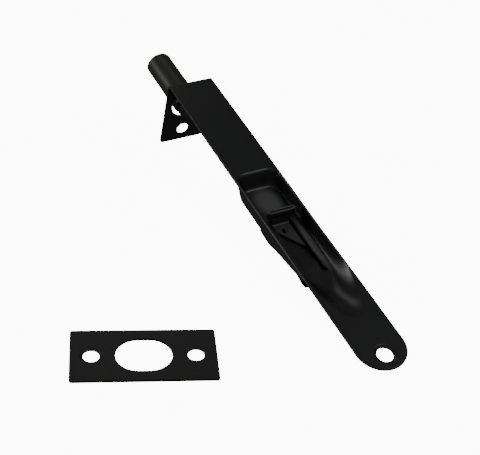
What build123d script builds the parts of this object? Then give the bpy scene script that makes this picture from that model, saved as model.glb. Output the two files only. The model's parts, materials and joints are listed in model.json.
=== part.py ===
from build123d import *
import os
from math import atan, cos, degrees, radians, sin

# Flush edge bolt: a pressed steel faceplate that bends over the end of a door, a round
# bolt thrown by a finger tab in a dished recess, and the strike plate that goes with it.
#
# Row frame, in millimetres: the origin is on the bolt's axis at the outer face of the
# end flange, +X is the way the bolt is thrown, +Z is out of the faceplate's front and
# +Y is across the faceplate.  Distances called "station" run back from the flange's
# outer face, so station 80 is x = -80, and depths run back from the front face.

# ---- faceplate ---------------------------------------------------------------
sheet = 1.0                  # thickness of the pressed faceplate
plate_length = 160.0
plate_width = 20.0
flange_depth = 32.0          # front face to the flange's free edge
fold_radius = 1.6            # outside of the fold
flange_corner_radius = 1.2
face_height = 11.9           # front face above the bolt's axis
rod_hole_radius = 6.85       # clearance hole for the bolt in the flange
screw_radius = 2.6           # hole in the flange
screw_depth = 26.0           # below the front face
end_screw_radius = 3.0       # hole at the round end
end_screw_inset = 6.5        # from the tip of the round end
countersink_rise = 0.6       # depth of each countersink
countersink_flare = 1.1      # how much wider it is at the face

# ---- finger dish -------------------------------------------------------------
dish_depth = 5.5             # front face to the dish's floor
dish_levels = 9              # sections between the face and the floor
dish_inner = {
    "half_width": (9.4, 8.0),      # at the face, at the floor
    "near_end": (57.5, 63.3),      # station of the end towards the flange
    "far_end": (137.0, 115.0),     # station of the tip of the long end
    "far_taper": (20.0, 32.0),     # length of the half ellipse there
    "corner": (4.6, 4.2),          # corner radius of the near end
    "depth": (0.0, dish_depth),
}
dish_outer = {
    "half_width": (9.95, 9.0),
    "near_end": (57.0, 62.4),
    "far_end": (138.0, 116.1),
    "far_taper": (20.0, 32.0),
    "corner": (4.8, 4.8),
    "depth": (0.3, dish_depth + sheet),
}

# ---- bolt --------------------------------------------------------------------
projection = 27.4            # how far the bolt stands out when thrown
throw = 26.9                 # its travel, which leaves only its chamfer standing out
pin_radius = 5.65
pin_relief_radius = 5.2      # the length behind the flange is turned down
pin_relief_length = 3.0
pin_cone_length = 5.0
pin_cone_end_radius = 3.2
pin_edge = 0.5               # chamfer of the end
rod_radius = 2.5
rod_socket_depth = 5.0       # length of rod pressed into the back of the pin
rod_flat_start = 73.0        # the rod is flattened where it runs under the carriage
rod_flat_full = 79.0
rod_flat_end = 90.5
rod_flat_half_width = 3.6
rod_flat_thickness = 2.2

# ---- finger tab --------------------------------------------------------------
tab_station = 80.0           # face of the upright towards the flange
tab_sheet = 1.2
tab_half_width = 6.1         # at the lip
tab_foot_half_width = 4.0
lip_height = 2.6             # folded-over part at the top of the upright
lip_thickness = 1.0
tab_shoulder_depth = 5.2     # bottom of the wide part, just above the dish's floor
tab_shoulder_half_width = 4.5
foot_depth = 6.7             # top of the foot, behind the dish's floor
foot_short_station = 84.0    # the foot's end is cut on a slant
foot_long_station = 95.5
tab_bend_radius = 0.6

# ---- slot in the dish's floor ---------------------------------------------------
slot_half_width = 4.2
slot_clearance = 0.3         # beyond the tab at each end of its travel
slot_corner_relief = 0.7     # small round relief at the two far corners

# ---- carriage and its spring ---------------------------------------------------
spring_sheet = 0.4
carriage_sheet = 1.0
carriage_start = 79.0
carriage_end = 93.0
carriage_half_width = 7.0
carriage_edge_radius = 1.2
cheek_depth = 10.7           # lowest point of the side cheeks
cheek_front_rise = 0.5
cheek_lowest = 6.5           # lowest point, behind the carriage's front
spring_end = 111.9
spring_crest_station = 105.0
spring_gap = 0.3             # between the spring's crest and the back of the dish
spring_curl_drop = 1.7
rivet_station = 85.4
rivet_radius = 1.5
rivet_head_radius = 2.6
rivet_head_height = 1.1

# ---- strike plate --------------------------------------------------------------
strike_length = 50.0
strike_width = 25.0
strike_sheet = 1.0
strike_corner_radius = 1.0
strike_slot_length = 19.3
strike_slot_width = 15.75
strike_screw_radius = 2.8
strike_screw_spacing = 35.4
# the bolt lies on its flange's edge and its round end, and the strike lies beside it
strike_along = 115.25        # from the fold, along the table
strike_beside = 74.9
strike_turn = 66.6           # degrees from the faceplate's length

slot_start = tab_station - slot_clearance
slot_end = tab_station + tab_sheet + throw + slot_clearance
spring_depth = foot_depth + tab_sheet
web_depth = spring_depth + spring_sheet
rod_flat_depth = web_depth + carriage_sheet
rod_flat_bottom = rod_flat_depth + rod_flat_thickness
tilt = degrees(atan((flange_depth - sheet) / (plate_length - sheet)))


def level(depth):
    """Height of a depth below the front face."""
    return face_height - depth


def blend(pair, share):
    return pair[0] + (pair[1] - pair[0]) * share


def cylinder_along_x(radius, x_low, x_high, z=0.0):
    disc = Plane(origin=(x_low, 0, z), x_dir=(0, 1, 0), z_dir=(1, 0, 0)) * Circle(radius)
    return extrude(disc, amount=x_high - x_low)


def cone_along_x(radius_low, radius_high, x_low, x_high, z=0.0):
    length = x_high - x_low
    turned = Plane(origin=((x_low + x_high) / 2, 0, z), x_dir=(0, 1, 0), z_dir=(1, 0, 0))
    return turned * Cone(radius_low, radius_high, length)


# ---- faceplate -----------------------------------------------------------------
def dish_section(shape, share):
    """Outline of the dish at one level: square near end, long rounded far end."""
    width = blend(shape["half_width"], share)
    near = -blend(shape["near_end"], share)
    tip = -blend(shape["far_end"], share)
    taper = blend(shape["far_taper"], share)
    corner = blend(shape["corner"], share)
    fall = share * share * (3 - 2 * share)
    z = level(blend(shape["depth"], fall))
    shoulder = tip + taper
    diagonal = corner * (1 - cos(radians(45)))
    outline = [
        Line((near, -width + corner, z), (near, width - corner, z)),
        ThreePointArc(
            (near, width - corner, z),
            (near - diagonal, width - diagonal, z),
            (near - corner, width, z),
        ),
        Line((near - corner, width, z), (shoulder, width, z)),
    ]
    half_end = EllipticalCenterArc((0, 0, 0), taper, width, 90, arc_size=180)
    outline.append(Pos(shoulder, 0, z) * half_end)
    outline.append(Line((shoulder, -width, z), (near - corner, -width, z)))
    outline.append(
        ThreePointArc(
            (near - corner, -width, z),
            (near - diagonal, -width + diagonal, z),
            (near, -width + corner, z),
        )
    )
    return make_face(Wire(outline))


def dish_solid(shape):
    shares = [step / (dish_levels - 1) for step in range(dish_levels)]
    return loft([dish_section(shape, share) for share in shares])


def screw_sink(radius):
    """Cutter for a countersunk hole, with its mouth at z = 0."""
    hole = Pos(0, 0, -sheet) * Cylinder(radius, 4 * sheet)
    mouth = Cone(radius, radius + countersink_flare, countersink_rise)
    return hole + Pos(0, 0, -countersink_rise / 2) * mouth


def make_faceplate():
    straight = plate_length - plate_width / 2
    outline = Pos(-straight / 2, 0) * Rectangle(straight, plate_width)
    outline += Pos(-straight, 0) * Circle(plate_width / 2)
    strip = extrude(Pos(0, 0, level(sheet)) * outline, amount=sheet)
    flange = Pos(-sheet / 2, 0, level(flange_depth / 2)) * Box(sheet, plate_width, flange_depth)
    corners = flange.edges().filter_by(Axis.X).sort_by(Axis.Z)[0:2]
    flange = fillet(corners, flange_corner_radius)
    plate = strip + flange
    across = plate.edges().filter_by(Axis.Y)
    outside = across.filter_by(lambda edge: abs(edge.center().X) < 0.01)
    outside = outside.sort_by(Axis.Z)[-1]
    plate = fillet(outside, fold_radius)
    inside = plate.edges().filter_by(Axis.Y).filter_by(
        lambda edge: abs(edge.center().X + sheet) < 0.01 and abs(edge.center().Z - level(sheet)) < 0.01
    )
    plate = fillet(inside, fold_radius - sheet)

    dish = dish_solid(dish_inner)
    plate = plate - dish + (dish_solid(dish_outer) - dish)

    slot_length = slot_end - slot_start
    slot_z = level(dish_depth + sheet / 2)
    slot = Pos(-(slot_start + slot_end) / 2, 0, slot_z) * Box(slot_length, 2 * slot_half_width, 6 * sheet)
    plate = plate - slot
    for side in (-1, 1):
        relief = Pos(-slot_end, side * slot_half_width, slot_z) * Cylinder(slot_corner_relief, 6 * sheet)
        plate = plate - relief

    plate = plate - cylinder_along_x(rod_hole_radius, -3 * sheet, sheet)
    end_sink = Pos(-plate_length + end_screw_inset, 0, face_height) * screw_sink(end_screw_radius)
    outward = Plane(origin=(0, 0, level(screw_depth)), x_dir=(0, 1, 0), z_dir=(1, 0, 0))
    return plate - end_sink - outward * screw_sink(screw_radius)


# ---- bolt ----------------------------------------------------------------------
def make_bolt_pin():
    pin = cylinder_along_x(pin_radius, 0, projection)
    pin = chamfer(pin.edges().filter_by(GeomType.CIRCLE).sort_by(Axis.X)[-1], pin_edge)
    pin += cylinder_along_x(pin_relief_radius, -pin_relief_length, 0)
    cone_start = -pin_relief_length - pin_cone_length
    pin += cone_along_x(pin_cone_end_radius, pin_relief_radius, cone_start, -pin_relief_length)
    socket = cylinder_along_x(rod_radius, cone_start, cone_start + rod_socket_depth)
    return pin - socket


def make_bolt_rod():
    """Round rod, flattened and raised where it is riveted under the carriage."""
    front = -pin_relief_length - pin_cone_length + rod_socket_depth
    rod = cylinder_along_x(rod_radius, -rod_flat_start, front)
    across = Plane(origin=(-rod_flat_start, 0, 0), x_dir=(0, 1, 0), z_dir=(1, 0, 0))
    flat_middle = level((rod_flat_depth + rod_flat_bottom) / 2)
    widened = Plane(origin=(-rod_flat_full, 0, flat_middle), x_dir=(0, 1, 0), z_dir=(1, 0, 0))
    round_end = across * Circle(rod_radius)
    flat_end = widened * Rectangle(2 * rod_flat_half_width, rod_flat_thickness)
    rod += loft([round_end, flat_end])
    straight = rod_flat_end - rod_flat_half_width - rod_flat_full
    outline = Pos(-rod_flat_full - straight / 2, 0) * Rectangle(straight, 2 * rod_flat_half_width)
    outline += Pos(-rod_flat_full - straight, 0) * Circle(rod_flat_half_width)
    tail = extrude(Pos(0, 0, level(rod_flat_bottom)) * outline, amount=rod_flat_thickness)
    return rod + tail - rivet_hole()


def make_carriage():
    """Channel behind the slot: a web across the rod's tail, and a shaped cheek on each side."""
    length = carriage_end - carriage_start
    middle = -(carriage_start + carriage_end) / 2
    web_top = level(web_depth)
    web_bottom = level(web_depth + carriage_sheet)
    web = Pos(middle, 0, (web_top + web_bottom) / 2)
    web = web * Box(length, 2 * carriage_half_width, carriage_sheet)
    front = -carriage_start
    back = -carriage_end
    front_corner = level(cheek_depth - cheek_front_rise)
    cheek_outline = [
        Line((front, web_top), (back, web_top)),
        Line((back, web_top), (back, web_bottom)),
        Spline(
            (back, web_bottom),
            (front - cheek_lowest, level(cheek_depth)),
            (front, front_corner),
            tangents=((1, -0.18), (0.7, 0.7)),
        ),
        Line((front, front_corner), (front, web_top)),
    ]
    cheek = Plane.XZ * make_face(Wire(cheek_outline))
    cheek = extrude(cheek, amount=carriage_sheet / 2, both=True)
    offset = carriage_half_width - carriage_sheet / 2
    body = web + Pos(0, offset, 0) * cheek + Pos(0, -offset, 0) * cheek
    bends = body.edges().filter_by(Axis.X).filter_by(
        lambda edge: abs(edge.center().Z - web_top) < 0.01
        and abs(abs(edge.center().Y) - carriage_half_width) < 0.01
    )
    body = fillet(bends, carriage_edge_radius)
    return body - rivet_hole()


def rivet_hole():
    return Pos(-rivet_station, 0, 0) * Cylinder(rivet_radius, 12 * sheet)


def make_finger_tab():
    """Upright with a folded lip, a neck through the slot and a foot with a slanted end."""
    front = -tab_station - tab_sheet
    back = -tab_station
    top = face_height
    upright = [
        (tab_half_width, top),
        (tab_half_width, level(lip_height)),
        (tab_shoulder_half_width, level(tab_shoulder_depth)),
        (tab_foot_half_width, level(tab_shoulder_depth)),
        (tab_foot_half_width, level(foot_depth + tab_sheet)),
        (-tab_foot_half_width, level(foot_depth + tab_sheet)),
        (-tab_foot_half_width, level(tab_shoulder_depth)),
        (-tab_shoulder_half_width, level(tab_shoulder_depth)),
        (-tab_half_width, level(lip_height)),
        (-tab_half_width, top),
    ]
    blank = make_face(Polyline(*upright, close=True))
    blank = fillet(blank.vertices().sort_by(Axis.Y)[-2:], 0.8)
    facing = Plane(origin=(front, 0, 0), x_dir=(0, 1, 0), z_dir=(1, 0, 0))
    tab = extrude(facing * blank, amount=tab_sheet)

    lip = Pos(back + lip_thickness / 2, 0, level(lip_height / 2))
    lip = lip * Box(lip_thickness, 2 * tab_half_width, lip_height)
    lip_edges = lip.edges().filter_by(Axis.X).sort_by(Axis.Z)
    lip = fillet(lip_edges[-2:], 0.8)
    tab += lip
    crown = tab.edges().filter_by(Axis.Y).sort_by(Axis.Z)[-2:]
    tab = fillet(crown, 0.45)

    foot_outline = [
        (back, -tab_foot_half_width),
        (-foot_long_station, -tab_foot_half_width),
        (-foot_short_station, tab_foot_half_width),
        (back, tab_foot_half_width),
    ]
    foot = make_face(Polyline(*foot_outline, close=True))
    foot = extrude(Pos(0, 0, level(foot_depth + tab_sheet)) * foot, amount=tab_sheet)
    tab += foot
    bend = tab.edges().filter_by(Axis.Y).filter_by(
        lambda edge: abs(edge.center().X - front) < 0.01 and abs(edge.center().Z - level(foot_depth)) < 0.01
    )
    tab = fillet(bend, tab_bend_radius)
    heel = tab.edges().filter_by(Axis.Y).filter_by(
        lambda edge: abs(edge.center().X - back) < 0.01
        and abs(edge.center().Z - level(foot_depth + tab_sheet)) < 0.01
    )
    tab = fillet(heel, tab_sheet * 0.9)
    return tab - rivet_hole()


def make_friction_spring():
    """Leaf clamped under the foot, rising to rub on the back of the dish, with a curled end."""
    flat_start = -(tab_station + tab_sheet)
    flat_end = -(foot_long_station + tab_sheet / 2)
    middle = level(spring_depth + spring_sheet / 2)
    crest = level(dish_depth + sheet + spring_gap + spring_sheet / 2)
    path = [
        Line((flat_start, 0, middle), (flat_end, 0, middle)),
        Spline(
            (flat_end, 0, middle),
            (-spring_crest_station, 0, crest),
            (-spring_end, 0, crest - spring_curl_drop),
            tangents=((-1, 0, 0), (-0.75, 0, -0.66)),
        ),
    ]
    section = Plane(origin=(flat_start, 0, middle), x_dir=(0, 1, 0), z_dir=(-1, 0, 0))
    section = section * Rectangle(2 * carriage_half_width, spring_sheet)
    leaf = sweep(section, path=Wire(path))
    return leaf - rivet_hole()


def make_tab_rivet():
    top = level(foot_depth)
    bottom = level(rod_flat_bottom)
    shank = Pos(-rivet_station, 0, (top + bottom) / 2) * Cylinder(rivet_radius, top - bottom)
    dome = Pos(-rivet_station, 0, bottom - rivet_head_height / 2)
    dome = dome * Cone(rivet_head_radius * 0.6, rivet_head_radius, rivet_head_height)
    return shank + dome


# ---- strike plate --------------------------------------------------------------
def table_directions():
    """Along the table towards the round end, across it, and up from it."""
    lean = radians(tilt)
    along = Vector(-cos(lean), 0, sin(lean))
    across = Vector(0, -1, 0)
    up = Vector(sin(lean), 0, cos(lean))
    return along, across, up


def strike_plane():
    along, across, up = table_directions()
    fold = Vector(0, 0, face_height)
    foot = Vector(-sheet, 0, level(flange_depth))
    under_fold = fold - up * (fold - foot).dot(up)
    centre = under_fold + along * strike_along - across * strike_beside
    turn = radians(strike_turn)
    long_way = along * cos(turn) + across * sin(turn)
    return Plane(origin=centre, x_dir=long_way, z_dir=up)


def make_strike_plate():
    outline = RectangleRounded(strike_length, strike_width, strike_corner_radius)
    outline -= SlotOverall(strike_slot_length, strike_slot_width)
    plate = extrude(outline, amount=strike_sheet)
    for side in (-1, 1):
        sink = Pos(side * strike_screw_spacing / 2, 0, strike_sheet) * screw_sink(strike_screw_radius)
        plate -= sink
    return strike_plane() * plate


parts = {
    "faceplate": make_faceplate(),
    "bolt_pin": make_bolt_pin(),
    "bolt_rod": make_bolt_rod(),
    "carriage": make_carriage(),
    "finger_tab": make_finger_tab(),
    "friction_spring": make_friction_spring(),
    "tab_rivet": make_tab_rivet(),
    "strike_plate": make_strike_plate(),
}

os.makedirs("parts", exist_ok=True)
for name, part in parts.items():
    export_step(part, f"parts/{name}.step")
    size = part.bounding_box().size
    print(f"{name}: {size.X:.1f} x {size.Y:.1f} x {size.Z:.1f} mm, {part.volume:.0f} mm3")
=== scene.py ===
import json
from math import atan2, ceil, cos, pi, radians, sin

import bmesh
import bpy
from mathutils import Matrix, Vector


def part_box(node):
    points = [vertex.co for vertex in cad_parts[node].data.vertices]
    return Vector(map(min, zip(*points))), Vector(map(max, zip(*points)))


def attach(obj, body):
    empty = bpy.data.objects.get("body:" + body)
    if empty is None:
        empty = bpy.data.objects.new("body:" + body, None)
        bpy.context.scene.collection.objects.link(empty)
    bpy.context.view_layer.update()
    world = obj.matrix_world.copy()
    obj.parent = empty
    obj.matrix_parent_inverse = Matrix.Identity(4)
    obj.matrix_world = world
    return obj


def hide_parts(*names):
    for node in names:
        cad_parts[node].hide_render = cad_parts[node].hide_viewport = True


# A flush edge bolt of pressed and powder-coated steel, with its strike plate beside it.
# Lengths are in millimetres until a mesh is finished, when they become metres.  The row
# frame is the CAD model's: the bolt runs along X, the faceplate's front looks up +Z.

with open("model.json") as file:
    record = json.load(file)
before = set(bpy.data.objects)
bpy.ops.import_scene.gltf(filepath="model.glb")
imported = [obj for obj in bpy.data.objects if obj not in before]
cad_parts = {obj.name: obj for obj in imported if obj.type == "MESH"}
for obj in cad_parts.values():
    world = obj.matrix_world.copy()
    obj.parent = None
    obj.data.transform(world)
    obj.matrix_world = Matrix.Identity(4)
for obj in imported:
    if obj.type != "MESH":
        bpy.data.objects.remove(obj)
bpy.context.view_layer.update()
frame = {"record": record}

MM = 0.001
record = frame["record"]
mounts = {mount["name"]: mount for mount in record["mounts"]}


def span(node):
    """Lowest and highest corner of a CAD node, in millimetres."""
    low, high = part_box(node)
    return low / MM, high / MM


def mount_place(name):
    return Vector(mounts[name]["pos_m"]) / MM


def mount_radius(name):
    return mounts[name]["dims"]["r_mm"]


plate_low, plate_high = span("faceplate")
pin_low, pin_high = span("bolt_pin")
rod_low, rod_high = span("bolt_rod")
tab_low, tab_high = span("finger_tab")
spring_low, spring_high = span("friction_spring")
carriage_low, carriage_high = span("carriage")
rivet_low, rivet_high = span("tab_rivet")

# ---- sizes that the frame doesn't state -------------------------------------------
sheet = 1.0
fold_radius = 1.6
flange_corner = 1.2
edge_round = 0.28            # powder coat rounds a punched edge
back_edge_round = 0.12
rod_hole = 6.85
sink_flare = 1.1
sink_depth = 0.6
face = plate_high.z
plate_length = -plate_low.x
half_width = plate_high.y

dish_front = {
    "half_width": (9.25, 8.0),
    "near_end": (57.5, 63.3),
    "far_end": (137.0, 115.0),
    "far_taper": (24.0, 26.0),
    "corner": (4.6, 4.2),
    "depth": (0.0, 5.5),
}
dish_back = {
    "half_width": (9.75, 9.0),
    "near_end": (57.0, 62.4),
    "far_end": (138.0, 116.1),
    "far_taper": (22.0, 32.0),
    "corner": (4.8, 4.8),
    "depth": (0.3, 6.5),
}
dish_rings = 30
rim_roll_width = 0.38        # the rim beside the dish rolls over as the dish is drawn
rim_roll_depth = 0.45
rim_roll_start = 60.0
rim_roll_end = 128.0

slot_half = 4.2
slot_near = 79.7
slot_far = 108.4
slot_relief = 0.7

tab_sheet = 1.2
tab_fold = 1.8
tab_neck = 4.0
tab_shoulder = 4.1
tab_shoulder_depth = 5.2
lip_height = 2.6
lip_seam = 0.42              # width of the dark seam in the folded lip
lip_seam_depth = 1.3
seam_end = 0.75              # from the lip's two ends to the seam's
seam_far_end = 0.95
lip_corner = 0.95
foot_short = 84.0

tab_high_front = -80.0        # face of the upright towards the flange
nose = pin_high.x
pin_radius = pin_high.y
pin_relief = 5.2
pin_relief_length = 3.0
pin_tail = 3.2
rod_flat_top = carriage_high.z - sheet

# centre, reach along each axis, and tone of each painted pool of light in the dish's floor
painted_light_patches = (
    ((-70.5, -0.5, 6.4), (10.0, 7.0, 1.6), "#565656"),
    ((-96.0, -5.9, 6.4), (17.0, 1.9, 1.6), "#5c5c5c"),
)
table_glow = 12.0            # keeps the board white behind a black object
grain_size = 0.35            # patterns in the powder coat
peel_size = 0.9
cloud_size = 14
ring_size = 2.2              # patterns on the turned steel
patch_size = 5
mottle_size = 60             # on the table

strike_long = 50.0
strike_wide = 25.0
strike_corner = 1.0
strike_slot_long = 19.3
strike_slot_wide = 15.75


# ---- outlines in a flat sheet ------------------------------------------------------
# An outline is a list of (u, y, nu, ny): a point, and the direction away from the metal.
def rounded_outline(corners, arc_steps=8):
    """A polygon of (u, y, radius) corners, counter-clockwise, with each corner rounded."""
    outline = []
    count = len(corners)
    for index in range(count):
        before = Vector(corners[index - 1][:2])
        here = Vector(corners[index][:2])
        after = Vector(corners[(index + 1) % count][:2])
        radius = corners[index][2]
        way_in = (here - before).normalized()
        way_out = (after - here).normalized()
        turn = atan2(way_in.cross(way_out), way_in.dot(way_out))
        if abs(turn) < 1e-6:
            outline.append((here.x, here.y, way_in.y, -way_in.x))
            continue
        reach = radius * abs(sin(turn / 2) / cos(turn / 2))
        start = here - way_in * reach
        normal = Vector((way_in.y, -way_in.x))
        bulge = 1 if turn > 0 else -1
        centre = start - normal * radius * bulge
        steps = max(2, ceil(arc_steps * abs(turn) / (pi / 2)))
        for step in range(steps + 1):
            facing = Matrix.Rotation(turn * step / steps, 2) @ normal
            point = centre + facing * radius * bulge
            outline.append((point.x, point.y, facing.x, facing.y))
    return outline


def round_hole(u, y, radius, steps=64):
    turns = [2 * pi * step / steps for step in range(steps)]
    return [(u + radius * cos(a), y + radius * sin(a), -cos(a), -sin(a)) for a in turns]


def oval_hole(long, wide, steps=28):
    """Hole with two half-round ends, centred on zero."""
    radius = wide / 2
    reach = long / 2 - radius
    outline = []
    for side in (1, -1):
        for step in range(steps + 1):
            a = -pi / 2 + pi * step / steps
            facing = Vector((side * cos(a), side * sin(a)))
            point = facing * radius + Vector((side * reach, 0))
            outline.append((point.x, point.y, -facing.x, -facing.y))
    return outline


def with_points_at(outline, stations):
    """Adds points where the outline's long runs cross each station."""
    result = []
    for index, here in enumerate(outline):
        after = outline[(index + 1) % len(outline)]
        result.append(here)
        low, high = sorted((here[0], after[0]))
        crossed = [u for u in stations if low + 1e-4 < u < high - 1e-4]
        crossed.sort(reverse=here[0] > after[0])
        for u in crossed:
            share = (u - here[0]) / (after[0] - here[0])
            result.append((u, here[1] + (after[1] - here[1]) * share, here[2], here[3]))
    return result


# ---- building sheet metal in the flat ----------------------------------------------
def add_ring(mesh, outline, inset, depth):
    """One closed ring; inset and depth are lengths, or functions of the station."""
    ring = []
    for u, y, nu, ny in outline:
        pull = inset(u) if callable(inset) else inset
        drop = depth(u) if callable(depth) else depth
        ring.append(mesh.verts.new((u - nu * pull, y - ny * pull, -drop)))
    return ring


def skin(mesh, first, second):
    for index in range(len(first)):
        after = (index + 1) % len(first)
        mesh.faces.new((first[index], first[after], second[after], second[index]))


def skin_all(mesh, rings):
    for first, second in zip(rings, rings[1:]):
        skin(mesh, first, second)


def ring_edges(mesh, ring):
    edges = []
    for index, vert in enumerate(ring):
        after = ring[(index + 1) % len(ring)]
        edges.append(mesh.edges.get((vert, after)) or mesh.edges.new((vert, after)))
    return edges


def cover(mesh, rings, folds=()):
    """Fills the flat area between rings, with clean strips across a fold."""
    edges = [edge for ring in rings for edge in ring_edges(mesh, ring)]
    if not folds:
        bmesh.ops.triangle_fill(mesh, use_beauty=True, edges=edges)
        return
    lines = []
    for u in folds:
        pair = [vert for vert in rings[0] if abs(vert.co.x - u) < 1e-4]
        pair.sort(key=lambda vert: vert.co.y)
        lines.append((pair[0], pair[-1]))
    for first, second in zip(lines, lines[1:]):
        mesh.faces.new((first[0], second[0], second[1], first[1]))
    for line, keep in ((lines[0], "below"), (lines[-1], "above")):
        u = line[0].co.x
        wanted = []
        for edge in edges:
            middle = (edge.verts[0].co.x + edge.verts[1].co.x) / 2
            if (middle < u) == (keep == "below"):
                wanted.append(edge)
        across = mesh.edges.get(line) or mesh.edges.new(line)
        bmesh.ops.triangle_fill(mesh, use_beauty=True, edges=wanted + [across])


def scaled(value, share, base=0.0):
    """A length, or a function of the station, times a share and on top of a base."""
    if callable(value):
        return lambda u: base + value(u) * share
    return base + value * share


def edge_rings(mesh, outline, thickness, pull=edge_round, drop=edge_round, top=0.0, steps=4):
    """Rings down a cut edge: rounded at the front, lightly broken at the back."""
    rings = []
    for step in range(steps + 1):
        a = pi / 2 * step / steps
        inset = scaled(pull, 1 - sin(a))
        rings.append(add_ring(mesh, outline, inset, scaled(drop, 1 - cos(a), top)))
    for step in range(3):
        a = pi / 2 * step / 2
        depth = top + thickness - back_edge_round * (1 - sin(a))
        rings.append(add_ring(mesh, outline, back_edge_round * (1 - cos(a)), depth))
    skin_all(mesh, rings)
    return rings


def sunk_rings(mesh, outline, thickness):
    """Rings down a countersunk hole, from its soft mouth to the back."""
    profile = [
        (sink_flare + 0.25, 0.0),
        (sink_flare + 0.08, 0.02),
        (sink_flare - 0.04, 0.09),
        (0.12, sink_depth - 0.06),
        (0.03, sink_depth),
        (0.0, sink_depth + 0.08),
        (0.0, thickness - 0.1),
        (0.03, thickness - 0.03),
        (0.1, thickness),
    ]
    rings = [add_ring(mesh, outline, inset, depth) for inset, depth in profile]
    skin_all(mesh, rings)
    return rings


def bend(corner, first_way, second_way, radius):
    """Returns the move from flat sheet to a sheet bent once round an outside corner."""
    quarter = radius * pi / 2

    def move(u, y, depth):
        if u <= 0:
            place = corner - first_way * radius + first_way * u + second_way * depth
        elif u >= quarter:
            place = corner + second_way * (radius + u - quarter) - first_way * depth
        else:
            a = u / radius
            centre = corner - first_way * radius + second_way * radius
            place = centre + (radius - depth) * (first_way * sin(a) - second_way * cos(a))
        return Vector((place.x, y, place.z))

    return move


def fold_stations(radius, steps=8):
    return [radius * pi / 2 * step / steps for step in range(steps + 1)]


def finish_piece(name, mesh, move=None):
    """Welds, turns every face outwards and makes the object, in metres."""
    if move:
        for vert in mesh.verts:
            vert.co = move(vert.co.x, vert.co.y, -vert.co.z)
    bmesh.ops.remove_doubles(mesh, verts=mesh.verts, dist=0.002)
    bmesh.ops.dissolve_degenerate(mesh, edges=mesh.edges, dist=0.001)
    bmesh.ops.recalc_face_normals(mesh, faces=mesh.faces)
    bmesh.ops.scale(mesh, vec=(MM, MM, MM), verts=mesh.verts)
    for polygon in mesh.faces:
        polygon.smooth = True
    data = bpy.data.meshes.new(name)
    mesh.to_mesh(data)
    mesh.free()
    piece = bpy.data.objects.new(name, data)
    bpy.context.scene.collection.objects.link(piece)
    even = piece.modifiers.new("even_shading", "WEIGHTED_NORMAL")
    even.mode = "FACE_AREA"
    even.keep_sharp = True
    return piece


def fit_piece(piece, body, node, material):
    piece.data.materials.append(material)
    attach(piece, body)
    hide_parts(node)


# ---- faceplate ---------------------------------------------------------------------
fold_quarter = fold_radius * pi / 2


def blend(pair, share):
    return pair[0] + (pair[1] - pair[0]) * share


def smooth_step(share):
    share = min(1.0, max(0.0, share))
    return share * share * (3 - 2 * share)


def station(distance):
    """Developed station of a distance behind the flange's face."""
    return distance - fold_radius + fold_quarter


def dish_outline(shape, share):
    """Square near end, straight sides and a long rounded far end, with no normals."""
    width = blend(shape["half_width"], share)
    near = station(blend(shape["near_end"], share))
    tip = station(blend(shape["far_end"], share))
    taper = blend(shape["far_taper"], share)
    corner = blend(shape["corner"], share)
    shoulder = tip - taper
    half = [(near, (width - corner) * step / 8) for step in range(8)]
    for step in range(9):
        a = pi / 2 * step / 8
        half.append((near + corner * (1 - cos(a)), width - corner * (1 - sin(a))))
    side_length = shoulder - near - corner
    half += [(near + corner + side_length * step / 24, width) for step in range(1, 24)]
    for step in range(33):
        a = pi / 2 * step / 32
        half.append((shoulder + taper * sin(a), width * cos(a)))
    mirrored = [(u, -y) for u, y in reversed(half[1:-1])]
    return [(u, y, 0.0, 0.0) for u, y in half + mirrored]


def dish_ring(mesh, shape, share):
    depth = blend(shape["depth"], smooth_step(share))
    return add_ring(mesh, dish_outline(shape, share), 0.0, depth)


def arc_points(u, y, radius, start, sweep, steps=10):
    """Points round a hole's arc, facing its centre."""
    turns = [start + sweep * step / steps for step in range(steps + 1)]
    return [(u + radius * cos(a), y + radius * sin(a), -cos(a), -sin(a)) for a in turns]


def slot_outline():
    """Straight slot with soft near corners and a small round relief at each far corner."""
    near = station(slot_near)
    far = station(slot_far)
    soft = 0.4
    outline = arc_points(near + soft, soft - slot_half, soft, pi, pi / 2)
    outline.append((far - slot_relief, -slot_half, 0, 1))
    outline += arc_points(far, -slot_half, slot_relief, pi, 1.5 * pi)
    outline.append((far, slot_relief - slot_half, -1, 0))
    outline.append((far, slot_half - slot_relief, -1, 0))
    outline += arc_points(far, slot_half, slot_relief, -pi / 2, 1.5 * pi)
    outline.append((far - slot_relief, slot_half, 0, -1))
    outline += arc_points(near + soft, slot_half - soft, soft, pi / 2, pi / 2)
    return outline


def rim_roll(u):
    """How far the side's edge is rolled over, from 0 to 1, at a station."""
    start = station(rim_roll_start)
    end = station(rim_roll_end)
    middle = blend((start, end), 0.5)
    if u < middle:
        return smooth_step((u - start) / (middle - start))
    return smooth_step((end - u) / (end - middle))


def rim_pull(u):
    return edge_round + rim_roll_width * rim_roll(u)


def rim_drop(u):
    return edge_round + rim_roll_depth * rim_roll(u)


def share_at_depth(shape, depth):
    """Share of the way down the dish's wall at which it reaches a depth."""
    low, high = 0.0, 1.0
    for _ in range(30):
        middle = (low + high) / 2
        if blend(shape["depth"], smooth_step(middle)) < depth:
            low = middle
        else:
            high = middle
    return high


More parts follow.
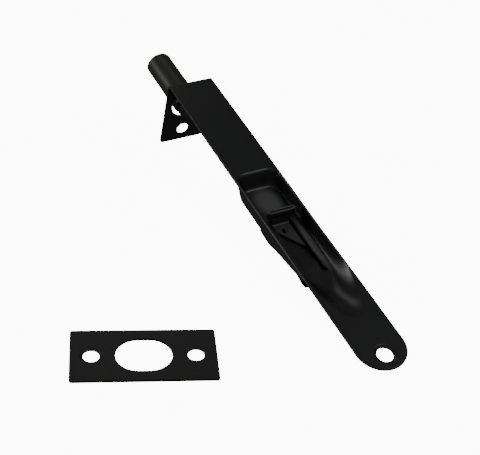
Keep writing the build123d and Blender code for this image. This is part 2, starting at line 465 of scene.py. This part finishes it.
def make_faceplate():
    mesh = bmesh.new()
    free_edge = fold_radius - (plate_high.z - plate_low.z)
    tip = station(plate_length)
    corners = [
        (free_edge, -half_width, flange_corner),
        (tip, -half_width, half_width - 0.001),
        (tip, half_width, half_width - 0.001),
        (free_edge, half_width, flange_corner),
    ]
    folds = fold_stations(fold_radius)
    side_steps = [station(step) for step in range(int(rim_roll_start), int(rim_roll_end) + 1, 2)]
    outline = with_points_at(rounded_outline(corners, 28), folds + side_steps)
    rims = edge_rings(mesh, outline, sheet, rim_pull, rim_drop)

    axis_station = fold_radius - face
    screw_station = axis_station + mount_place("flange_screw").z
    end_station = station(-mount_place("end_screw").x)
    rod = edge_rings(mesh, round_hole(axis_station, 0, rod_hole, 96), sheet, 0.2, 0.2)
    screw = sunk_rings(mesh, round_hole(screw_station, 0, mount_radius("flange_screw")), sheet)
    end = sunk_rings(mesh, round_hole(end_station, 0, mount_radius("end_screw")), sheet)

    front = [dish_ring(mesh, dish_front, step / dish_rings) for step in range(dish_rings + 1)]
    skin_all(mesh, front)
    start = share_at_depth(dish_back, sheet)
    back = [dish_ring(mesh, dish_back, blend((start, 1.0), step / 20)) for step in range(21)]
    skin_all(mesh, back)
    for vert in back[0]:
        vert.co.z = -sheet
    floor_depth = dish_front["depth"][1]
    slot = edge_rings(mesh, slot_outline(), sheet, 0.15, 0.15, floor_depth)

    cover(mesh, [rims[0], rod[0], screw[0], end[0], front[0]], folds)
    cover(mesh, [rims[-1], rod[-1], screw[-1], end[-1], back[0]], folds)
    cover(mesh, [front[-1], slot[0]])
    cover(mesh, [back[-1], slot[-1]])
    corner = Vector((0, 0, face))
    move = bend(corner, Vector((0, 0, 1)), Vector((-1, 0, 0)), fold_radius)
    return finish_piece("faceplate_pressing", mesh, move)


# ---- finger tab --------------------------------------------------------------------
def make_tab_upright():
    """Upright, neck and slanted foot, bent from one strip."""
    mesh = bmesh.new()
    wide = tab_high.y
    quarter = tab_fold * pi / 2
    top = tab_fold - (tab_high.z - tab_low.z)
    shoulder = top + tab_shoulder_depth
    reach = quarter - tab_fold
    long_end = reach + tab_high_front - tab_low.x
    short_end = reach + foot_short + tab_high_front
    side = [
        (top + lip_seam_depth + 0.3, wide, 0.3),
        (top + lip_height, wide, 0.6),
        (shoulder, tab_shoulder, 0.4),
        (shoulder + 0.5, tab_neck, 0.3),
    ]
    corners = [(u, -y, radius) for u, y, radius in side]
    corners += [(long_end, -tab_neck, 0.4), (short_end, tab_neck, 0.5)]
    corners += reversed(side)
    folds = fold_stations(tab_fold)
    outline = with_points_at(rounded_outline(corners, 6), folds)
    rings = edge_rings(mesh, outline, tab_sheet, 0.18, 0.18)
    cover(mesh, [rings[0]], folds)
    cover(mesh, [rings[-1]], folds)
    corner = Vector((tab_high_front, 0, tab_low.z))
    move = bend(corner, Vector((0, 0, -1)), Vector((-1, 0, 0)), tab_fold)
    return finish_piece("finger_tab_upright", mesh, move)


def make_tab_lip():
    """The folded-over top of the tab: two thicknesses with a dark seam between them."""
    mesh = bmesh.new()
    back = tab_high_front - tab_sheet
    wide = tab_high.y
    plan = rounded_outline(box_corners(back, tab_high.x, -wide, wide, lip_corner), 7)
    seam_low = tab_high_front - lip_seam / 2
    seam_high = tab_high_front + lip_seam / 2
    seam_ends = (seam_end - wide, wide - seam_far_end)
    seam = rounded_outline(box_corners(seam_low, seam_high, *seam_ends, lip_seam * 0.45), 7)
    crest = 0.34
    rings = [
        add_ring(mesh, seam, 0, lip_seam_depth),
        add_ring(mesh, seam, 0, crest),
        add_ring(mesh, seam, -0.05, 0.16),
        add_ring(mesh, seam, -0.16, 0.05),
        add_ring(mesh, seam, -0.3, 0.0),
    ]
    skin_all(mesh, rings)
    cover(mesh, [rings[0]])
    outside = []
    for step in range(6):
        a = pi / 2 * step / 5
        outside.append(add_ring(mesh, plan, crest * (1 - sin(a)), crest * (1 - cos(a))))
    outside.append(add_ring(mesh, plan, 0, lip_height - 0.2))
    outside.append(add_ring(mesh, plan, 0.06, lip_height - 0.06))
    outside.append(add_ring(mesh, plan, 0.2, lip_height))
    skin_all(mesh, outside)
    skin(mesh, rings[-1], outside[0])
    cover(mesh, [outside[-1]])
    return finish_piece("finger_tab_lip", mesh, lambda x, y, depth: Vector((x, y, face - depth)))


def box_corners(low_u, high_u, low_y, high_y, radius):
    """A box's four corners, counter-clockwise, each with the same radius."""
    places = [(low_u, low_y), (high_u, low_y), (high_u, high_y), (low_u, high_y)]
    return [(u, y, radius) for u, y in places]


# ---- strike plate ------------------------------------------------------------------
def strike_move():
    near = mount_place("strike_screw_near")
    far = mount_place("strike_screw_far")
    up = Vector(mounts["strike_screw_near"]["axis"]).normalized()
    long_way = (far - near).normalized()
    wide_way = up.cross(long_way)
    middle = (near + far) / 2
    base = middle + up * (mount_place("strike_back") - middle).dot(up)
    return lambda u, y, depth: base + long_way * u + wide_way * y + up * (sheet - depth)


def make_strike_plate():
    mesh = bmesh.new()
    half_long = strike_long / 2
    half_wide = strike_wide / 2
    plan = rounded_outline(box_corners(-half_long, half_long, -half_wide, half_wide, strike_corner))
    spacing = (mount_place("strike_screw_far") - mount_place("strike_screw_near")).length
    radius = mount_radius("strike_screw_near")
    rims = [edge_rings(mesh, plan, sheet)]
    rims.append(edge_rings(mesh, oval_hole(strike_slot_long, strike_slot_wide), sheet))
    for side in (-1, 1):
        rims.append(sunk_rings(mesh, round_hole(side * spacing / 2, 0, radius), sheet))
    cover(mesh, [rim[0] for rim in rims])
    cover(mesh, [rim[-1] for rim in rims])
    return finish_piece("strike_plate_blank", mesh, strike_move())


# ---- bolt, rod and what holds them ---------------------------------------------------
def turned(name, profile, place, steps=96):
    """A piece turned on a lathe from (distance, radius) points; place gives the axis."""
    mesh = bmesh.new()
    rings = []
    for distance, radius in profile:
        turns = [2 * pi * step / steps for step in range(steps)]
        points = [place(distance, radius * cos(a), radius * sin(a)) for a in turns]
        rings.append([mesh.verts.new(point) for point in points])
    skin_all(mesh, rings)
    return finish_piece(name, mesh)


def make_bolt_pin():
    edge = 0.5
    rounding = []
    for step in range(7):
        a = pi / 2 * step / 6
        rounding.append((nose - edge * (1 - sin(a)), pin_radius - edge * (1 - cos(a))))
    profile = [(pin_low.x, 0), (pin_low.x, pin_tail - 0.3), (pin_low.x + 0.2, pin_tail)]
    profile += [(-pin_relief_length - 0.15, pin_relief - 0.15), (-pin_relief_length, pin_relief)]
    profile += [(-0.1, pin_relief), (0.0, pin_relief + 0.06)]
    profile += [(0.05, pin_radius - 0.1), (0.15, pin_radius)]
    profile += [(nose * step / 8, pin_radius) for step in range(1, 8)]
    profile += rounding
    profile += [(nose, 3.6), (nose, 1.8), (nose, 0)]
    return turned("bolt_pin_turning", profile, lambda x, y, z: (x, y, z), 128)


def loft(name, sections):
    """Skins closed sections and caps the two ends."""
    mesh = bmesh.new()
    rings = [[mesh.verts.new(point) for point in section] for section in sections]
    skin_all(mesh, rings)
    for ring in (rings[0], rings[-1]):
        mesh.faces.new(ring)
    return finish_piece(name, mesh)


def squared_section(x, half_y, half_z, squareness, middle_z=0.0, steps=48):
    """A superellipse across X: squareness 2 is round, and more is nearer a rectangle."""
    section = []
    for step in range(steps):
        a = 2 * pi * step / steps
        y = half_y * abs(cos(a)) ** (2 / squareness) * (1 if cos(a) > 0 else -1)
        z = half_z * abs(sin(a)) ** (2 / squareness) * (1 if sin(a) > 0 else -1)
        section.append((x, y, middle_z + z))
    return section


def make_bolt_rod():
    """Drawn round rod, hammered flat where the rivet passes through it."""
    round_radius = 2.5
    flat_half = rod_high.y
    flat_half_thickness = 1.1
    flat_middle = rod_flat_top - flat_half_thickness
    flat_start = -73.0
    flat_full = -79.0
    tail_centre = rod_low.x + flat_half
    sections = [squared_section(rod_high.x, round_radius - 0.3, round_radius - 0.3, 2)]
    sections.append(squared_section(rod_high.x - 0.3, round_radius, round_radius, 2))
    for step in range(12):
        x = blend((rod_high.x - 2, flat_start), step / 11)
        sections.append(squared_section(x, round_radius, round_radius, 2))
    for step in range(1, 9):
        share = smooth_step(step / 8)
        half_y = blend((round_radius, flat_half), share)
        half_z = blend((round_radius, flat_half_thickness), share)
        x = blend((flat_start, flat_full), step / 8)
        middle_z = flat_middle * share
        sections.append(squared_section(x, half_y, half_z, blend((2, 7), share), middle_z))
    for step in range(13):
        a = pi / 2 * step / 12 * 0.985
        x = tail_centre - flat_half * sin(a)
        sections.append(squared_section(x, flat_half * cos(a), flat_half_thickness, 7, flat_middle))
    return loft("bolt_rod_bar", sections)


def cheek_bottom(x):
    """Lower edge of the carriage's cheeks at a place along it."""
    front, back = carriage_high.x, carriage_low.x
    lowest = front - 6.5
    web_under = carriage_high.z - sheet
    if x > lowest:
        share = (front - x) / (front - lowest)
        return carriage_low.z + 0.5 * (1 - sin(share * pi / 2)) ** 1.4
    share = (lowest - x) / (lowest - back)
    return blend((carriage_low.z, web_under - 0.25), smooth_step(share))


def carriage_section(x):
    """Channel open downwards: one closed loop across X."""
    wide = carriage_high.y
    top = carriage_high.z
    bottom = cheek_bottom(x)
    bend_radius = 1.2
    inner = wide - sheet
    half = [(0, top), (wide * 0.5, top)]
    for step in range(7):
        a = pi / 2 * step / 6
        half.append((wide - bend_radius * (1 - sin(a)), top - bend_radius * (1 - cos(a))))
    broken = 0.15
    half += [(wide, bottom + broken), (wide - broken, bottom)]
    half += [(inner + broken, bottom), (inner, bottom + broken)]
    for step in range(4):
        a = pi / 2 * step / 3
        half.append((inner - 0.25 * (1 - cos(a)), top - sheet - 0.25 * (1 - sin(a))))
    half += [(wide * 0.4, top - sheet), (0, top - sheet)]
    mirrored = [(-y, z) for y, z in reversed(half[1:-1])]
    return [(x, y, z) for y, z in half + mirrored]


def make_carriage():
    front, back = carriage_high.x, carriage_low.x
    sections = [carriage_section(blend((front, back), step / 28)) for step in range(29)]
    return loft("carriage_channel", sections)


def spring_height(x):
    """Middle of the leaf: flat under the foot, up to its crest, then down to the tail."""
    thickness = 0.4
    crest = spring_high.z - thickness / 2
    flat = carriage_high.z + thickness / 2
    flat_end, crest_x = -96.1, -105.0
    if x > flat_end:
        return flat
    if x > crest_x:
        return blend((flat, crest), smooth_step((flat_end - x) / (flat_end - crest_x)))
    fall = crest - (spring_low.z + thickness / 2 + 0.1)
    return crest - fall * ((crest_x - x) / (crest_x - spring_low.x)) ** 1.8


def make_friction_spring():
    half_thickness = 0.2
    sections = []
    start, end = spring_high.x, spring_low.x + 0.1
    for step in range(49):
        x = blend((start, end), step / 48)
        corner = 1 - max(0.0, (step - 44) / 4) ** 2 * 0.12
        half_y = spring_high.y * corner
        sections.append(squared_section(x, half_y, half_thickness, 6, spring_height(x), 32))
    return loft("friction_spring_leaf", sections)


def make_tab_rivet():
    """Rivet with a domed head under the rod's tail and a flat head on the foot."""
    centre = (rivet_low.x + rivet_high.x) / 2
    head = rivet_high.y
    shank = 1.5
    under = rivet_low.z + 1.1
    dome = under - rivet_low.z
    profile = []
    for step in range(9):
        a = pi / 2 * step / 8
        profile.append((rivet_low.z + dome * (1 - cos(a)), head * sin(a)))
    top = rivet_high.z
    profile += [(under, head), (under, shank)]
    profile += [(top - 0.12, shank), (top, shank - 0.2), (top, 0)]
    return turned("tab_rivet_steel", profile, lambda z, x, y: (centre + x, y, z), 48)


# ---- finishes ----------------------------------------------------------------------
def linear(code):
    """An sRGB hex colour as linear red, green, blue and alpha."""
    parts = [int(code[i:i + 2], 16) / 255 for i in (1, 3, 5)]
    return [c / 12.92 if c <= 0.04045 else ((c + 0.055) / 1.055) ** 2.4 for c in parts] + [1.0]


def per_metre(millimetres):
    """Texture scale for a pattern of that size."""
    return 1000.0 / millimetres


def add(tree, kind, inputs=None, **settings):
    """Adds a node with its settings; an input is a value, or the output that feeds it."""
    node = tree.nodes.new(kind)
    for name, value in settings.items():
        setattr(node, name, value)
    for socket, value in (inputs or {}).items():
        if isinstance(value, bpy.types.NodeSocket):
            tree.links.new(value, node.inputs[socket])
        else:
            node.inputs[socket].default_value = value
    return node


def new_finish(name):
    material = bpy.data.materials.new(name)
    material.use_nodes = True
    tree = material.node_tree
    tree.nodes.clear()
    output = add(tree, "ShaderNodeOutputMaterial")
    place = add(tree, "ShaderNodeTexCoord").outputs["Object"]
    return material, tree, output, place


def painted_light_patch(tree, place, coat, patch):
    """A soft oval of lighter coat: a painted pool of light on the dish's floor."""
    centre, reach, tone = patch
    moved = add(tree, "ShaderNodeVectorMath", {
        0: place, 1: [c * MM for c in centre],
    }, operation="SUBTRACT")
    shrunk = add(tree, "ShaderNodeVectorMath", {
        0: moved.outputs["Vector"], 1: [per_metre(r) for r in reach],
    }, operation="MULTIPLY")
    oval = add(tree, "ShaderNodeTexGradient", {
        "Vector": shrunk.outputs["Vector"],
    }, gradient_type="SPHERICAL")
    soft = add(tree, "ShaderNodeMapRange", {
        "Value": oval.outputs["Fac"], "From Max": 0.6,
    }, interpolation_type="SMOOTHSTEP")
    return add(tree, "ShaderNodeMix", {
        "Factor": soft.outputs["Result"], "A": coat, "B": linear(tone),
    }, data_type="RGBA").outputs["Result"]


def satin_powder_coat(name, dark, light, roughness=(0.3, 0.42), patches=()):
    """Baked black powder: a faint orange peel under an even satin sheen, a little cloudy."""
    material, tree, output, place = new_finish(name)
    cloud = add(tree, "ShaderNodeTexNoise", {
        "Vector": place, "Scale": per_metre(cloud_size), "Detail": 3.0,
    })
    grain = add(tree, "ShaderNodeTexNoise", {
        "Vector": place, "Scale": per_metre(grain_size), "Detail": 2.0,
    })
    orange_peel = add(tree, "ShaderNodeTexNoise", {
        "Vector": place, "Scale": per_metre(peel_size), "Detail": 1.5,
    })
    tone = add(tree, "ShaderNodeMix", {
        "Factor": cloud.outputs["Fac"], "A": linear(dark), "B": linear(light),
    }, data_type="RGBA")
    sheen = add(tree, "ShaderNodeMapRange", {
        "Value": grain.outputs["Fac"], "From Min": 0.3, "From Max": 0.7,
        "To Min": roughness[0], "To Max": roughness[1],
    })
    skin_bump = add(tree, "ShaderNodeBump", {
        "Height": orange_peel.outputs["Fac"], "Strength": 0.25, "Distance": 0.00006,
    })
    fine_bump = add(tree, "ShaderNodeBump", {
        "Height": grain.outputs["Fac"], "Strength": 0.12, "Distance": 0.00003,
        "Normal": skin_bump.outputs["Normal"],
    })
    colour = tone.outputs["Result"]
    # painted pools of light, laid over the coat's own colour
    for patch in patches:
        colour = painted_light_patch(tree, place, colour, patch)
    coat = add(tree, "ShaderNodeBsdfPrincipled", {
        "Base Color": colour, "Roughness": sheen.outputs["Result"],
        "Normal": fine_bump.outputs["Normal"], "IOR": 1.5,
    })
    tree.links.new(coat.outputs["BSDF"], output.inputs["Surface"])
    return material


def blackened_turned_steel(name, dark, light):
    """Chemically blackened bar: warm grey-black, with fine rings that the lathe left."""
    material, tree, output, place = new_finish(name)
    stretched = add(tree, "ShaderNodeMapping", {"Vector": place, "Scale": (9.0, 1.0, 1.0)})
    rings = add(tree, "ShaderNodeTexNoise", {
        "Vector": stretched.outputs["Vector"], "Scale": per_metre(ring_size), "Detail": 4.0,
    })
    patches = add(tree, "ShaderNodeTexNoise", {
        "Vector": place, "Scale": per_metre(patch_size), "Detail": 4.0,
    })
    tone = add(tree, "ShaderNodeMix", {
        "Factor": patches.outputs["Fac"], "A": linear(dark), "B": linear(light),
    }, data_type="RGBA")
    sheen = add(tree, "ShaderNodeMapRange", {
        "Value": rings.outputs["Fac"], "From Min": 0.3, "From Max": 0.7,
        "To Min": 0.38, "To Max": 0.55,
    })
    marks = add(tree, "ShaderNodeBump", {
        "Height": rings.outputs["Fac"], "Strength": 0.3, "Distance": 0.00004,
    })
    steel = add(tree, "ShaderNodeBsdfPrincipled", {
        "Base Color": tone.outputs["Result"], "Roughness": sheen.outputs["Result"],
        "Normal": marks.outputs["Normal"], "Metallic": 0.25,
    })
    tree.links.new(steel.outputs["BSDF"], output.inputs["Surface"])
    return material


def white_table():
    """Plain white board lit from within, very slightly mottled."""
    material, tree, output, place = new_finish("white_board")
    mottle = add(tree, "ShaderNodeTexNoise", {
        "Vector": place, "Scale": per_metre(mottle_size), "Detail": 2.0,
    })
    tone = add(tree, "ShaderNodeMix", {
        "Factor": mottle.outputs["Fac"], "A": linear("#f6f6f5"), "B": linear("#fbfbfa"),
    }, data_type="RGBA")
    board = add(tree, "ShaderNodeBsdfPrincipled", {
        "Base Color": tone.outputs["Result"], "Roughness": 0.9,
        "Emission Color": tone.outputs["Result"], "Emission Strength": table_glow,
    })
    tree.links.new(board.outputs["BSDF"], output.inputs["Surface"])
    return material


# ---- put the object together ---------------------------------------------------------
# the faceplate's coat carries the painted pools of light in the dish's floor
face_coat = satin_powder_coat(
    "satin_black_powder_coat", "#0e0e0f", "#141415", patches=painted_light_patches
)
# the tab's black powder coat, painted a lighter grey for the light that its lip and foot catch
tab_coat_painted_light = satin_powder_coat("satin_black_powder_coat_tab_painted_light", "#383838", "#444444", (0.32, 0.44))
strike_coat = satin_powder_coat(
    "satin_black_powder_coat_strike", "#120e0f", "#181415", (0.52, 0.62)
)
pin_steel = blackened_turned_steel("blackened_turned_steel", "#262623", "#30302d")
inner_steel = blackened_turned_steel("black_oxide_steel", "#131313", "#1c1c1c")
# black spring steel, painted darker still for the shade in the slot under the tab's foot
spring_steel = satin_powder_coat("spring_steel_with_painted_shade", "#070708", "#0b0b0d", (0.55, 0.7))

fit_piece(make_faceplate(), "plate", "faceplate", face_coat)
fit_piece(make_strike_plate(), "strike", "strike_plate", strike_coat)
for piece in (make_tab_upright(), make_tab_lip()):
    fit_piece(piece, "bolt", "finger_tab", tab_coat_painted_light)
fit_piece(make_bolt_pin(), "bolt", "bolt_pin", pin_steel)
fit_piece(make_bolt_rod(), "bolt", "bolt_rod", inner_steel)
fit_piece(make_carriage(), "bolt", "carriage", inner_steel)
fit_piece(make_friction_spring(), "bolt", "friction_spring", spring_steel)
fit_piece(make_tab_rivet(), "bolt", "tab_rivet", inner_steel)

# ---- table, light and camera -----------------------------------------------------------
table_up = Vector(mounts["strike_screw_near"]["axis"]).normalized()
table_point = mount_place("strike_back") * MM - table_up * 0.00003


def make_table():
    mesh = bmesh.new()
    bmesh.ops.create_grid(mesh, x_segments=8, y_segments=8, size=2.0)
    data = bpy.data.meshes.new("table")
    mesh.to_mesh(data)
    mesh.free()
    table = bpy.data.objects.new("table", data)
    bpy.context.scene.collection.objects.link(table)
    facing = table_up.to_track_quat("Z", "Y").to_matrix().to_4x4()
    table.matrix_world = Matrix.Translation(table_point) @ facing
    table.data.materials.append(white_table())
    table.visible_diffuse = False
    table.visible_glossy = False


light_aim = Vector((-0.08, 0.03, 0.0))


def soft_light(name, heading, height, distance, size, energy):
    """Square soft light; heading is degrees round the table's normal from +X to +Y."""
    ahead = Vector((cos(radians(heading)), sin(radians(heading)), 0))
    ahead = (ahead - table_up * ahead.dot(table_up)).normalized()
    way = ahead * cos(radians(height)) + table_up * sin(radians(height))
    light = bpy.data.lights.new(name, "AREA")
    light.size = size
    light.energy = energy
    lamp = bpy.data.objects.new(name, light)
    bpy.context.scene.collection.objects.link(lamp)
    facing = way.to_track_quat("Z", "Y").to_matrix().to_4x4()
    lamp.matrix_world = Matrix.Translation(light_aim + way * distance) @ facing


make_table()
soft_light("overhead", heading=180, height=80, distance=1.0, size=1.4, energy=1.2)
soft_light("key", heading=-120, height=55, distance=0.9, size=0.25, energy=1.1)
soft_light("rim", heading=55, height=20, distance=0.9, size=0.3, energy=2.4)
soft_light("front", heading=-15, height=40, distance=0.9, size=0.25, energy=0.35)

world = bpy.data.worlds.new("studio")
world.use_nodes = True
world.node_tree.nodes["Background"].inputs["Color"].default_value = (1, 1, 1, 1)
world.node_tree.nodes["Background"].inputs["Strength"].default_value = 0.11
bpy.context.scene.world = world

camera_place = Vector((-0.31757, 0.20204, 0.30697))
camera_aim = Vector((-0.08335, 0.02012, 0.0119))
camera_roll = 5.34
camera = bpy.data.cameras.new("camera")
camera.sensor_width = 36.0
camera.lens = 84.49
ahead = (camera_aim - camera_place).normalized()
level_right = ahead.cross(table_up).normalized()
level_up = level_right.cross(ahead)
right = level_right * cos(radians(camera_roll)) + level_up * sin(radians(camera_roll))
up = right.cross(ahead)
view = Matrix((right, up, -ahead)).transposed().to_4x4()
view.translation = camera_place
viewer = bpy.data.objects.new("camera", camera)
bpy.context.scene.collection.objects.link(viewer)
viewer.matrix_world = view
bpy.context.scene.camera = viewer
